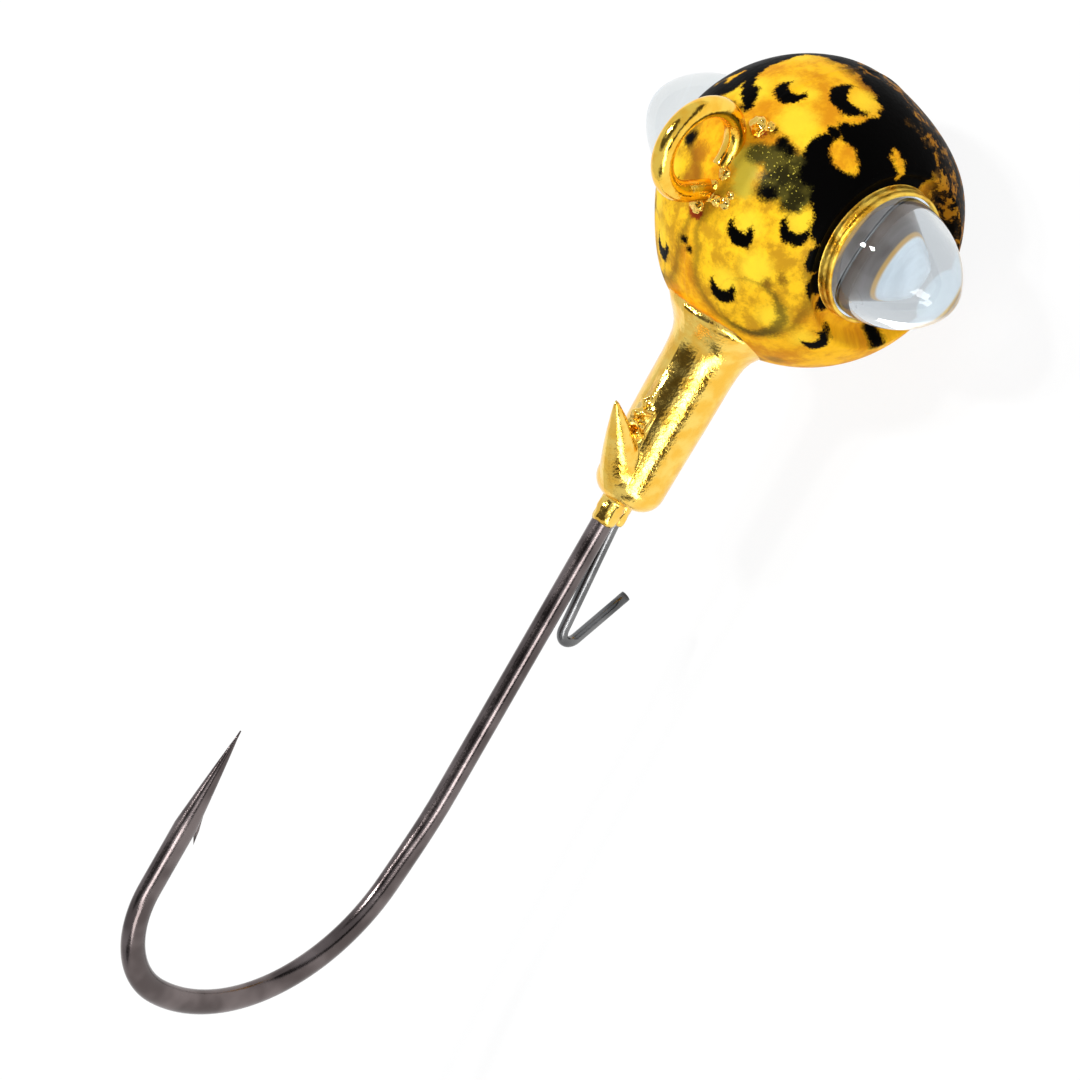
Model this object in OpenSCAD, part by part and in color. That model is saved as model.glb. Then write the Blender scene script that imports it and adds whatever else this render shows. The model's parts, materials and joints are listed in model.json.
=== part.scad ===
// Ball-head jig: a lead head cast round a jig hook and a bait-keeper wire, with two clear stud eyes.
// +X points forwards (nose), +Y to the fish's left, +Z up (line tie and hook point).
// The origin is the centre of the line-tie ring. The hook lies in the plane y = 0.

/* [Head] */
// Diameter of the cast ball
ball_d = 11; // [10:0.5:13]
// How far the line tie's centre stands ahead of the ball's centre
tie_ahead = 0.6; // [0:0.1:1]
// Height of the line tie's centre over the ball's centre
tie_height = 6.9; // [6.7:0.1:7.2]

/* [Bait collar] */
// Diameter of the bait collar where it leaves the ball
collar_d = 2.8; // [2.4:0.1:3.2]
// Diameter of the collar at its rear end
collar_end_d = 2.62; // [2.3:0.02:3]
// Distance from the ball's centre to the collar's rear end
collar_end = 12.15; // [11:0.05:13.5]
// Radius of the collar's rounded rear corner
collar_round = 0.8; // [0.4:0.1:1]
// Height of the collar's axis over the ball's centre
collar_lift = 0.97; // [0.8:0.01:1.1]
// Length of the holding barb, from its tip to its round base
barb_length = 3.5; // [2.5:0.1:3.6]
// Radius of the barb's round base
barb_r = 0.82; // [0.8:0.01:1.1]
// Angle of the barb's axis to the collar
barb_angle = 45; // [32:1:46]
// Length of the neck of metal on the two wires behind the collar
neck_length = 0.9; // [0.4:0.05:1.5]

/* [Hook] */
// Diameter of the hook wire
wire_d = 0.8; // [0.6:0.05:0.9]
// Height of the shank's axis over the ball's centre
shank_lift = 1.25; // [1.1:0.05:1.4]
// Mean radius of the line-tie ring
ring_r = 1.62; // [1.4:0.02:1.8]
// Radius of the line tie's hole
tie_hole_r = 1.25; // [1.05:0.01:1.42]
// How far the wire between shank and ring leans back from upright
leg_lean = 18; // [10:1:25]
// Distance from the ball's centre to the start of the bend
bend_start = 24.05; // [20:0.05:30]
// Radius of the bend's first, almost straight stretch
entry_r = 33; // [20:1:40]
// Angle turned by the first stretch
entry_turn = 7; // [4:1:10]
// Radius of the bend's main stretch
main_r = 7.1; // [6:0.1:9]
// Angle turned by the main stretch
main_turn = 93; // [80:1:110]
// Radius of the bend's last stretch, up to the point leg
heel_r = 3.7; // [3:0.1:5]
// Length of the straight leg between bend and spear point
leg_length = 2.55; // [2:0.05:5]
// Length of the spear point
point_length = 3.85; // [3:0.05:5]

/* [Bait keeper] */
// Diameter of the keeper wire
keeper_d = 0.4; // [0.3:0.05:0.5]
// Distance from the ball's centre to the keeper's turn
keeper_reach = 17.2; // [15:0.1:20]
// How far the keeper drops away from the shank between the neck and its turn
keeper_drop = 0.5; // [0.2:0.05:1]
// Mean radius of the keeper's turn
keeper_turn_r = 0.46; // [0.3:0.02:0.6]
// Angle between the keeper's free arm and the shank
keeper_angle = 31.5; // [20:0.5:60]
// Length of the keeper's free arm
keeper_arm = 2.4; // [2:0.05:4]

/* [Eyes] */
// Radius of an eye stud
eye_r = 2.35; // [2:0.05:2.5]
// Distance from the head's middle plane to an eye's tip
eye_tip = 7.86; // [7.2:0.02:8.4]
// Radius of the eye's rounded tip
eye_nose_r = 1.3; // [0.9:0.05:1.5]
// Distance of the eye's axis ahead of the ball's centre
eye_ahead = 0.28; // [0:0.01:0.4]
// Height of the eye's axis over the ball's centre
eye_lift = 0.55; // [0.3:0.01:0.7]

/* [Hidden] */
$fn = 96;

ball_r = ball_d / 2;
ball_x = -tie_ahead;
ball_z = -tie_height;
wire_r = wire_d / 2;
keeper_r = keeper_d / 2;
shank_z = ball_z + shank_lift;
bead_proud = 0.004;

// Hook: the shank turns up inside the ball and leans back to meet the ring at a tangent.
leg_bend_r = 1.3;
ring_end = -102;
ring_meets_leg = 180 + leg_lean;
leg_top = [ring_r * cos(ring_meets_leg), ring_r * sin(ring_meets_leg)];
leg_fall = leg_top[1] - shank_z;
corner_x = leg_top[0] + leg_fall * tan(leg_lean);
corner_cut = leg_bend_r * tan((90 + leg_lean) / 2);
leg_bend_x = corner_x - corner_cut;
leg_foot = [corner_x - corner_cut * sin(leg_lean), shank_z + corner_cut * cos(leg_lean)];

// Hook: three stretches that are tangent to each other take the wire round to the point leg.
bend_x = ball_x - bend_start;
heel_turn = 180 - entry_turn - main_turn;
entry_centre = [bend_x, shank_z + entry_r];
entry_end = entry_centre + entry_r * [-sin(entry_turn), -cos(entry_turn)];
main_centre = entry_end + main_r * [sin(entry_turn), cos(entry_turn)];
main_end = main_centre + main_r * [-sin(entry_turn + main_turn), -cos(entry_turn + main_turn)];
heel_centre = main_end + heel_r * [sin(entry_turn + main_turn), cos(entry_turn + main_turn)];
point_z = heel_centre[1] + heel_r;
point_x = heel_centre[0] + leg_length;
tip_flat_r = 0.03;
tip_dip = 0.1;
micro_barb_root = [point_x + 0.75, point_z - 0.3];
micro_barb_tip = [point_x - 0.6, point_z - 0.93];
micro_barb_r = 0.2;

// Collar, barb and neck.
collar_z = ball_z + collar_lift;
collar_r = collar_d / 2;
collar_end_r = collar_end_d / 2;
collar_end_x = ball_x - collar_end;
flare = 0.2;
barb_base = [collar_end_x + 0.95, collar_z + 0.54];
barb_waist = 0.6 * barb_length;
barb_waist_r = 0.56 * barb_r;
barb_point_r = 0.04;
neck_start_x = collar_end_x + 1;
neck_end_x = collar_end_x - neck_length;
neck_skin = 0.06;

// Keeper: it lies under the shank with a hair of metal between them, and drops away behind the neck.
keeper_gap = 0.03;
keeper_front_x = ball_x - 2.2;
keeper_z = shank_z - wire_r - keeper_gap - keeper_r;
keeper_bend = [ball_x - keeper_reach, keeper_z - keeper_drop];
keeper_slope = atan2(keeper_drop, neck_end_x - keeper_bend[0]);
keeper_centre = keeper_bend + keeper_turn_r * [sin(keeper_slope), -cos(keeper_slope)];
keeper_arm_start = keeper_centre - keeper_turn_r * [sin(keeper_angle), cos(keeper_angle)];
keeper_arm_end = keeper_arm_start + keeper_arm * [cos(keeper_angle), -sin(keeper_angle)];

// Line-tie boss: a low cap of metal where the wire leaves the ball.
boss_r = 3;
boss_top = 5.6;
boss_x = -0.1;

// Eye seats: a raised lip round each socket, standing in a shallow dish.
socket_play = 0.05;
socket_r = eye_r + socket_play;
lip_wall = 0.13;
lip_r = socket_r + lip_wall;
lip_top = 4.5;
dish_floor = 3.97;
dish_r = 2.95;
dish_rim_r = 4.2;
dish_depth = 1.4;
socket_floor = 2.6;
cement_bed = 0.1;
eye_back = socket_floor + cement_bed;
eye_back_bevel = 0.15;
eye_shoulder = 4.3;
eye_rise = eye_tip - eye_nose_r - eye_shoulder;
eye_side_r = (eye_rise * eye_rise + eye_r * eye_r - eye_nose_r * eye_nose_r) / (2 * (eye_r - eye_nose_r));
eye_join = eye_shoulder + eye_side_r * eye_rise / (eye_side_r - eye_nose_r);

// Straight round wire between two points [x, z] of the plane y = 0.
module rod(from, to, r1, r2) {
    run = to - from;
    translate([from[0], 0, from[1]])
        rotate([0, atan2(run[0], run[1]), 0])
            cylinder(r1 = r1, r2 = r2, h = norm(run));
}

// Round wire along an arc in the plane y = 0, between two angles from +X towards +Z.
module arc(centre, radius, start, end, r) {
    translate([centre[0], 0, centre[1]])
        rotate([90, 0, 0])
            rotate([0, 0, start])
                rotate_extrude(angle = end - start)
                    translate([radius, 0])
                        circle(r = r);
}

// The line-tie ring: round wire with a narrow flat land round the inside of its hole.
module ring() {
    rotate([90, 0, 0])
        rotate([0, 0, ring_end])
            rotate_extrude(angle = ring_meets_leg - ring_end)
                intersection() {
                    translate([ring_r, 0])
                        circle(r = wire_r);
                    translate([tie_hole_r, -wire_r])
                        square([wire_d, wire_d]);
                }
}

// A bead a hair larger than the wire, which joins two stretches of it into one solid.
module bead(at, r) {
    translate([at[0], 0, at[1]])
        sphere(r = r + bead_proud);
}

module shank_and_leg() {
    rod([bend_x, shank_z], [leg_bend_x, shank_z], wire_r, wire_r);
    bead([leg_bend_x, shank_z], wire_r);
    arc([leg_bend_x, shank_z + leg_bend_r], leg_bend_r, -90, leg_lean, wire_r);
    bead(leg_foot, wire_r);
    rod(leg_foot, leg_top, wire_r, wire_r);
    bead(leg_top, wire_r);
}

module bend() {
    for (at = [[bend_x, shank_z], entry_end, main_end, [heel_centre[0], point_z]])
        bead(at, wire_r);
    arc(entry_centre, entry_r, 270 - entry_turn, 270, wire_r);
    arc(main_centre, main_r, 270 - entry_turn - main_turn, 270 - entry_turn, wire_r);
    arc(heel_centre, heel_r, 90, 90 + heel_turn, wire_r);
}

module point() {
    rod([heel_centre[0], point_z], [point_x, point_z], wire_r, wire_r);
    bead([point_x, point_z], wire_r);
    rod([point_x, point_z], [point_x + point_length, point_z - tip_dip], wire_r, tip_flat_r);
    rod(micro_barb_root, micro_barb_tip, micro_barb_r, tip_flat_r);
}

module hook_wire() {
    ring();
    shank_and_leg();
    bend();
    point();
}

module keeper_wire() {
    rod([keeper_front_x, keeper_z], [neck_end_x, keeper_z], keeper_r, keeper_r);
    bead([neck_end_x, keeper_z], keeper_r);
    rod([neck_end_x, keeper_z], keeper_bend, keeper_r, keeper_r);
    bead(keeper_bend, keeper_r);
    arc(keeper_centre, keeper_turn_r, 90 + keeper_slope, 270 - keeper_angle, keeper_r);
    bead(keeper_arm_start, keeper_r);
    rod(keeper_arm_start, keeper_arm_end, keeper_r, keeper_r);
}

// Places its children on an eye's axis, with +Z pointing out of the head. side is 1 for right, -1 for left.
module at_eye(side) {
    translate([ball_x + eye_ahead, 0, ball_z + eye_lift])
        rotate([side * 90, 0, 0])
            children();
}

module eye_seat_cut(side) {
    at_eye(side)
        translate([0, 0, dish_floor])
            cylinder(r1 = dish_r, r2 = dish_rim_r, h = dish_depth);
}

module eye_lip(side) {
    at_eye(side)
        translate([0, 0, socket_floor])
            cylinder(r = lip_r, h = lip_top - socket_floor);
}

module socket_cut(side) {
    at_eye(side)
        translate([0, 0, socket_floor])
            cylinder(r = socket_r, h = ball_r);
}

// The collar points backwards: its profile is turned about the collar's axis.
module collar() {
    translate([ball_x, 0, collar_z])
        rotate([0, -90, 0]) {
            cylinder(r = collar_r, h = ball_r);
            translate([0, 0, ball_r])
                cylinder(r1 = collar_r, r2 = collar_end_r, h = collar_end - collar_round - ball_r);
            translate([0, 0, ball_r - flare])
                cylinder(r1 = collar_r + flare, r2 = collar_r, h = 2 * flare);
            rotate_extrude() {
                square([collar_end_r - collar_round, collar_end]);
                translate([collar_end_r - collar_round, collar_end - collar_round])
                    intersection() {
                        circle(r = collar_round);
                        translate([0, -collar_round])
                            square(2 * collar_round);
                    }
            }
        }
}

// The barb: a blunt cone with a round base, leaning away from the collar towards the head.
module barb() {
    translate([barb_base[0], 0, barb_base[1]])
        rotate([0, 90 - barb_angle, 0]) {
            rotate_extrude()
                polygon([[0, 0], [barb_r, 0], [barb_waist_r, barb_waist], [barb_point_r, barb_length],
                    [0, barb_length]]);
            sphere(r = barb_r);
        }
}

module neck() {
    rod([neck_start_x, shank_z], [neck_end_x, shank_z], wire_r + neck_skin, wire_r + neck_skin);
    rod([neck_start_x, keeper_z], [neck_end_x, keeper_z], keeper_r + neck_skin, keeper_r + neck_skin);
}

module boss() {
    translate([boss_x, 0, ball_z + boss_top - boss_r])
        sphere(r = boss_r);
}

module ball() {
    difference() {
        translate([ball_x, 0, ball_z])
            sphere(d = ball_d);
        for (side = [1, -1])
            eye_seat_cut(side);
    }
}

module head_casting() {
    color("goldenrod")
        difference() {
            union() {
                ball();
                for (side = [1, -1])
                    eye_lip(side);
                collar();
                barb();
                neck();
                boss();
            }
            for (side = [1, -1])
                socket_cut(side);
            hook_wire();
            keeper_wire();
        }
}

module hook() {
    color("dimgray")
        hook_wire();
}

module bait_keeper() {
    color("silver")
        keeper_wire();
}

// An eye stud: a straight shank with a bevelled back, and a bullet nose of two tangent arcs.
module stud() {
    cylinder(r1 = eye_r - eye_back_bevel, r2 = eye_r, h = eye_back_bevel);
    translate([0, 0, eye_back_bevel])
        cylinder(r = eye_r, h = eye_shoulder - eye_back - eye_back_bevel);
    rotate_extrude() {
        intersection() {
            translate([eye_r - eye_side_r, eye_shoulder - eye_back])
                circle(r = eye_side_r);
            translate([0, eye_shoulder - eye_back])
                square([eye_r, eye_join - eye_shoulder]);
        }
        intersection() {
            translate([0, eye_tip - eye_nose_r - eye_back])
                circle(r = eye_nose_r);
            translate([0, eye_join - eye_back])
                square([eye_r, eye_tip - eye_join]);
        }
    }
}

module eye(side) {
    at_eye(side)
        translate([0, 0, eye_back])
            stud();
}

// The cement: a thin bed behind the stud and a film round it, up to the lip's edge.
module eye_cement(side) {
    color("lightyellow")
        difference() {
            at_eye(side)
                translate([0, 0, socket_floor])
                    cylinder(r = socket_r, h = lip_top - socket_floor - socket_play);
            eye(side);
        }
}

head_casting();
hook();
bait_keeper();
color("azure", 0.6) eye(1);  // eye_right
color("azure", 0.6) eye(-1);  // eye_left
eye_cement(1);  // eye_cement_right
eye_cement(-1);  // eye_cement_left
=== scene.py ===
# %% [markdown]
# # A ball-head jig
# This lesson finishes a small lead jig in Blender: a round head cast on a hook, plated with gold and
# lacquered in yellow with black spots, with two clear stud eyes and a wire that holds the soft bait.
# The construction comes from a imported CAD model. Every place below is measured from its boxes and
# mounts, and the new pieces stay inside it. Shapes are worked in millimetres and scaled to metres
# when a piece is finished, because a 40 mm object is easier to think about in its own unit.

import json
from math import asin, atan2, cos, degrees, hypot, pi, radians, sin, sqrt

import bmesh
import bpy
from mathutils import Matrix, Vector, noise


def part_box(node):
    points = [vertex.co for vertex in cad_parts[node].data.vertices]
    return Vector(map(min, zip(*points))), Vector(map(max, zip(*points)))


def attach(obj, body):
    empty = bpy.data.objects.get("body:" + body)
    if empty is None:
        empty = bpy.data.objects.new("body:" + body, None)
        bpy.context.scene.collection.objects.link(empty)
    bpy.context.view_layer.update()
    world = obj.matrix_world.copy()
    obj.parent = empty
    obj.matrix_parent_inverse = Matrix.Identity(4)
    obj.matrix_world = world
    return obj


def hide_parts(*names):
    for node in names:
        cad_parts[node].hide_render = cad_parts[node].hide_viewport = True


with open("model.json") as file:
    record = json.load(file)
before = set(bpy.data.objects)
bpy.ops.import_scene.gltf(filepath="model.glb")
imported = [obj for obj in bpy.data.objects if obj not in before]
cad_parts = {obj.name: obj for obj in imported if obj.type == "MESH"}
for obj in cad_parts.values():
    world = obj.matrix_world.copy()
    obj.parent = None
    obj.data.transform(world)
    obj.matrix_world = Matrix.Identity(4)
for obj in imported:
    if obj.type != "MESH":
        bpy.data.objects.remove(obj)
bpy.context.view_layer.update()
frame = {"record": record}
MM = 0.001
mounts = {mount["name"]: mount for mount in frame["record"]["mounts"]}


def box_mm(node):
    """The lowest and highest corner of a CAD node, in millimetres."""
    low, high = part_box(node)
    return low / MM, high / MM


head_low, head_high = box_mm("head_casting")
hook_low, hook_high = box_mm("hook")
eye_low, eye_high = box_mm("eye_right")
print("head", [round(v, 2) for v in head_low], [round(v, 2) for v in head_high])
print("hook", [round(v, 2) for v in hook_low], [round(v, 2) for v in hook_high])

# %% Places that the pieces share
# The wire's radius is a hair under the CAD wire's, so that the hook stays inside its box.
ball_r = 5.5
wire_r = 0.397
keeper_r = 0.2
ball_at = Vector((round(head_high.x - ball_r, 2), 0, round(head_low.z + ball_r, 2)))
eye_at = Vector(((eye_low.x + eye_high.x) / 2, 0, (eye_low.z + eye_high.z) / 2))
eye_r = (eye_high.x - eye_low.x) / 2
eye_tip = -eye_low.y
eye_back = -eye_high.y
shank_z = mounts["bait_shank"]["pos_m"][2] / MM
collar_z = mounts["bait_collar"]["pos_m"][2] / MM
collar_r = mounts["bait_collar"]["dims"]["r_mm"]
print("ball centre", [round(v, 3) for v in ball_at], "eye radius", round(eye_r, 3))

# %% [markdown]
# ## Camera, floor and light
# Small shiny things are shown on white. The camera is a long lens held above the jig and rolled, so
# that the hook hangs down to the left. A lens near the object would swell the head and shrink the
# hook, so this one is far away and narrow.

# %% Camera
view_azimuth, view_elevation, view_roll = radians(15), radians(50), radians(-71.7)
view_distance = 300
view_shift_right, view_shift_up = -9.37, -11.53
lens_mm, sensor_mm = 285.8, 36

to_camera = Vector(
    (
        sin(view_azimuth) * cos(view_elevation),
        -cos(view_azimuth) * cos(view_elevation),
        sin(view_elevation),
    )
)
level_right = Vector((0, 0, 1)).cross(to_camera).normalized()
level_up = to_camera.cross(level_right)
image_right = cos(view_roll) * level_right + sin(view_roll) * level_up
image_up = -sin(view_roll) * level_right + cos(view_roll) * level_up
camera_at = ball_at + view_shift_right * image_right + view_shift_up * image_up
camera_at += view_distance * to_camera

camera_data = bpy.data.cameras.new("camera")
camera_data.lens = lens_mm
camera_data.sensor_width = sensor_mm
camera_data.clip_start = 0.01
camera = bpy.data.objects.new("camera", camera_data)
turn = Matrix((image_right, image_up, to_camera)).transposed()
camera.matrix_world = Matrix.Translation(camera_at * MM) @ turn.to_4x4()
bpy.context.scene.collection.objects.link(camera)
bpy.context.scene.camera = camera
print("camera at", [round(v, 1) for v in camera_at])

# %% [markdown]
# ### Helpers for node trees
# A material is a tree of nodes. These helpers add a node, set its plain values and join its sockets
# in one line each, so that the trees further down read like recipes.


# %% Node helpers
def add_node(tree, kind, **values):
    """A new node of that kind, with inputs set by name; _ stands for a space in a name."""
    node = tree.nodes.new(kind)
    for name, value in values.items():
        set_input(tree, node, name.replace("_", " "), value)
    return node


def set_input(tree, node, name, value):
    """Joins a socket to an input, given by name or number, or sets the input to a plain value."""
    if isinstance(value, bpy.types.NodeSocket):
        tree.links.new(value, node.inputs[name])
    else:
        node.inputs[name].default_value = value


def maths(tree, operation, *terms, kind="ShaderNodeMath"):
    """The result of a Math node."""
    node = tree.nodes.new(kind)
    node.operation = operation
    for index, term in enumerate(terms):
        set_input(tree, node, index, term)
    return node.outputs["Value" if operation == "DISTANCE" else 0]


def vector_maths(tree, operation, *terms):
    """The vector result of a Vector Math node, or its number for a distance."""
    return maths(tree, operation, *terms, kind="ShaderNodeVectorMath")


def ease(tree, value, start, end, low=0.0, high=1.0):
    """Goes smoothly from low to high while value goes from start to end."""
    node = tree.nodes.new("ShaderNodeMapRange")
    node.interpolation_type = "SMOOTHSTEP"
    names = ("Value", "From Min", "From Max", "To Min", "To Max")
    for name, setting in zip(names, (value, start, end, low, high)):
        set_input(tree, node, name, setting)
    return node.outputs["Result"]


def blend_colour(tree, mask, under, over):
    """The colour over, laid on the colour under through a mask."""
    node = tree.nodes.new("ShaderNodeMix")
    node.data_type = "RGBA"
    factor, colour_a, colour_b, colour_out = 0, 6, 7, 2
    for index, value in ((factor, mask), (colour_a, under), (colour_b, over)):
        set_input(tree, node, index, value)
    return node.outputs[colour_out]


def lay(tree, under, mask, strength, over):
    """The colour over, laid on the colour under at a share of the mask's strength."""
    return blend_colour(tree, maths(tree, "MULTIPLY", mask, strength), under, over)


def parts_of(tree, vector):
    """The X, Y and Z of a vector."""
    return add_node(tree, "ShaderNodeSeparateXYZ", Vector=vector).outputs


def noise_value(tree, place, scale, detail=2.0, rough=0.5, colour=False):
    """A noise texture's value, or its colour, read at a place."""
    node = add_node(tree, "ShaderNodeTexNoise", Vector=place, Scale=scale, Detail=detail, Roughness=rough)
    return node.outputs["Color" if colour else "Fac"]


def clouds(tree, place, scale, detail, rough, start, end):
    """A soft-edged mask from a noise texture, which rises while its value goes from start to end."""
    return ease(tree, noise_value(tree, place, scale, detail, rough), start, end)


def object_place(tree, at):
    """The surface point in millimetres, measured from a place on the object."""
    point = tree.nodes.new("ShaderNodeTexCoord").outputs["Object"]
    to_mm = (1 / MM,) * 3
    mapping = add_node(tree, "ShaderNodeMapping", Vector=point, Location=-Vector(at), Scale=to_mm)
    return mapping.outputs["Vector"]


def new_material(name):
    """An empty material with a Principled BSDF on its output."""
    material = bpy.data.materials.new(name)
    material.use_nodes = True
    tree = material.node_tree
    return material, tree, tree.nodes["Principled BSDF"]


print("helpers ready")

# %% [markdown]
# ### A white floor that keeps a little shadow
# A floor that only reflects light never comes out quite white. Here the camera, mirrors and clear
# things see mostly a white glow, mixed with a tenth of a lit floor, and that tenth holds the shadow.
# Every other ray meets the lit floor, so the floor still throws light back at the jig.

# %% Floor
floor_reach = 3.0
floor_shadow = 0.1
floor_white = (0.9, 0.9, 0.9, 1)
WHITE = (1, 1, 1, 1)

bpy.ops.mesh.primitive_plane_add(size=floor_reach, location=(0, 0, 0))
floor = bpy.context.object
floor.name = "floor"
floor.data.transform(Matrix.Translation((0, 0, head_low.z * MM)))
floor_material = bpy.data.materials.new("white_floor")
floor_material.use_nodes = True
tree = floor_material.node_tree
tree.nodes.clear()
lit = add_node(tree, "ShaderNodeBsdfDiffuse", Color=floor_white)
glow = add_node(tree, "ShaderNodeEmission", Color=WHITE, Strength=1.0)
rays = tree.nodes.new("ShaderNodeLightPath").outputs
seen = maths(tree, "MAXIMUM", rays["Is Camera Ray"], rays["Is Glossy Ray"])
seen = maths(tree, "MAXIMUM", seen, rays["Is Transmission Ray"])
share = maths(tree, "MULTIPLY", seen, 1 - floor_shadow)
mix = tree.nodes.new("ShaderNodeMixShader")
output = tree.nodes.new("ShaderNodeOutputMaterial")
tree.links.new(share, mix.inputs[0])
tree.links.new(lit.outputs[0], mix.inputs[1])
tree.links.new(glow.outputs[0], mix.inputs[2])
tree.links.new(mix.outputs[0], output.inputs["Surface"])
floor.data.materials.append(floor_material)
print("floor at z =", round(head_low.z, 2), "mm")

# %% [markdown]
# ### What the metal mirrors
# Plated metal has no look of its own: it shows what stands round it. The sky is pale all round and
# dark overhead, so that gold and wire get deep tones beside bright ones. A low dark band on the
# right side is there only for reflections, and draws the dark line along the collar. The camera
# itself sees plain white past the floor's edge.

# %% World
overhead_start, overhead_end = sin(radians(52)), sin(radians(62))
band_foot, band_top = (sin(radians(1)), sin(radians(4))), (sin(radians(16)), sin(radians(21)))
band_side = (-0.05, -0.3)
pale_sky, dark_sky = (0.72, 0.74, 0.77, 1), (0.07, 0.07, 0.075, 1)

world = bpy.data.worlds.new("studio")
world.use_nodes = True
tree = world.node_tree
background = tree.nodes["Background"]
ways = parts_of(tree, tree.nodes.new("ShaderNodeTexCoord").outputs["Generated"])
overhead = ease(tree, ways["Z"], overhead_start, overhead_end)
band = maths(tree, "MULTIPLY", ease(tree, ways["Z"], *band_foot), ease(tree, ways["Z"], *band_top, 1.0, 0.0))
band = maths(tree, "MULTIPLY", band, ease(tree, ways["Y"], *band_side))
rays = tree.nodes.new("ShaderNodeLightPath").outputs
dark = maths(tree, "MAXIMUM", overhead, maths(tree, "MULTIPLY", band, rays["Is Glossy Ray"]))
sky = blend_colour(tree, dark, pale_sky, dark_sky)
tree.links.new(blend_colour(tree, rays["Is Camera Ray"], sky, WHITE), background.inputs["Color"])
background.inputs["Strength"].default_value = 1.0
bpy.context.scene.world = world
bpy.context.scene.view_settings.view_transform = "Standard"
print("world ready: dark above", round(degrees(asin(overhead_start))), "degrees")

# %% [markdown]
# ### Soft boxes
# Two small lamps high over the head make the bright points on the studs, and a large one on the right
# lights the ball. A fourth, low at the side, lights no matt surface: it is there for the bright
# facet that polished metal shows on the barb, and would only wash out the black lacquer.

# %% Soft boxes
lamp_distance = 0.6
small_box, large_box = (0.055, 0.05), (0.2, 0.2)


def soft_box(name, azimuth, elevation, width, height, power):
    """An area lamp that looks at the ball. azimuth is in degrees from the right side, round to the nose."""
    data = bpy.data.lights.new(name, "AREA")
    data.shape = "RECTANGLE"
    data.size, data.size_y, data.energy = width, height, power
    turned, raised = radians(azimuth), radians(elevation)
    away = Vector((sin(turned) * cos(raised), -cos(turned) * cos(raised), sin(raised)))
    lamp = bpy.data.objects.new(name, data)
    turn = away.to_track_quat("Z", "Y").to_matrix().to_4x4()
    lamp.matrix_world = Matrix.Translation(ball_at * MM + away * lamp_distance) @ turn
    bpy.context.scene.collection.objects.link(lamp)
    return lamp


soft_box("key_box", 160, 73, *small_box, 1.5)
soft_box("second_key_box", 122, 79, *small_box, 1.5)
soft_box("front_box", -20, 30, *large_box, 1.0)
side_box = soft_box("side_box", -33, 11, *large_box, 0.9)
side_box.visible_diffuse = False


# %% [markdown]
# ## Surfaces that repeat
# The plating, the hook's finish, the lacquer and the cement all show fine grain. A painted image
# would need unwrapped surfaces, so the grain is noise at two scales, read in millimetres on the
# object. It is one node group with its own values in each material: it gives a height, which bumps
# and roughness follow, and broad patches, which colour follows.


# %% Grain group
def add_sockets(group, in_out, **kinds):
    """Gives a node group its named inputs or outputs; _ stands for a space in a name."""
    for name, kind in kinds.items():
        group.interface.new_socket(name.replace("_", " "), in_out=in_out, socket_type="NodeSocket" + kind)


def make_grain_group():
    """Grain at two scales: a height that mixes both, and the broad patches of the coarse one."""
    group = bpy.data.node_groups.new("fine_grain", "ShaderNodeTree")
    add_sockets(group, "INPUT", Place="Vector", Fine_Scale="Float", Coarse_Scale="Float")
    add_sockets(group, "OUTPUT", Height="Float", Patches="Float")
    start = group.nodes.new("NodeGroupInput")
    end = group.nodes.new("NodeGroupOutput")
    fine = noise_value(group, start.outputs["Place"], start.outputs["Fine Scale"], 3.0)
    coarse = noise_value(group, start.outputs["Place"], start.outputs["Coarse Scale"], 2.0)
    height = maths(group, "ADD", maths(group, "MULTIPLY", fine, 0.4), maths(group, "MULTIPLY", coarse, 0.6))
    group.links.new(height, end.inputs["Height"])
    group.links.new(ease(group, coarse, 0.35, 0.65), end.inputs["Patches"])
    return group


grain_group = make_grain_group()


def grain(tree, place, fine_scale, coarse_scale):
    """A placed copy of the grain group. Its outputs are Height and Patches."""
    node = tree.nodes.new("ShaderNodeGroup")
    node.node_tree = grain_group
    tree.links.new(place, node.inputs["Place"])
    node.inputs["Fine Scale"].default_value = fine_scale
    node.inputs["Coarse Scale"].default_value = coarse_scale
    return node.outputs


def bump(tree, height, strength, depth_mm):
    """A normal from a height, where a full step of height is depth_mm deep."""
    node = add_node(tree, "ShaderNodeBump", Height=height, Strength=strength, Distance=depth_mm * MM)
    return node.outputs["Normal"]


print("grain group ready")


# %% [markdown]
# ## Gold plating and wire
# The casting is lead under a thin gold plating, so it keeps the uneven skin of the mould. The ring
# was wire before it was plated and is smoother. Metals take their colour from Base Color alone: a
# deep and a pale gold in patches, with the roughness uneven too, keep them from looking like plastic.
# The hook is black nickel and the keeper is bare spring steel, both with broad patches.


# %% Gold plating
def make_gold(name, rough, lumps, deep, pale, metal=1.0):
    """Gold plating. lumps is the depth of its unevenness in millimetres."""
    material, tree, shader = new_material(name)
    place = object_place(tree, (0, 0, 0))
    surface = grain(tree, place, 9.0, 1.7)
    set_input(tree, shader, "Base Color", blend_colour(tree, surface["Patches"], deep, pale))
    shader.inputs["Metallic"].default_value = metal
    set_input(tree, shader, "Roughness", ease(tree, surface["Height"], 0.3, 0.7, rough * 0.6, rough * 1.6))
    set_input(tree, shader, "Normal", bump(tree, surface["Height"], 1.0, lumps))
    return material


gold_ring = make_gold("gold_ring", 0.1, 0.02, (0.95, 0.53, 0.05, 1), (1.0, 0.66, 0.1, 1))
gold_casting = make_gold("gold_casting", 0.12, 0.035, (0.96, 0.55, 0.07, 1), (1.0, 0.69, 0.15, 1))
gold_lip = make_gold("gold_lip", 0.34, 0.09, (0.7, 0.34, 0.015, 1), (1.0, 0.68, 0.1, 1), metal=0.8)


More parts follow.
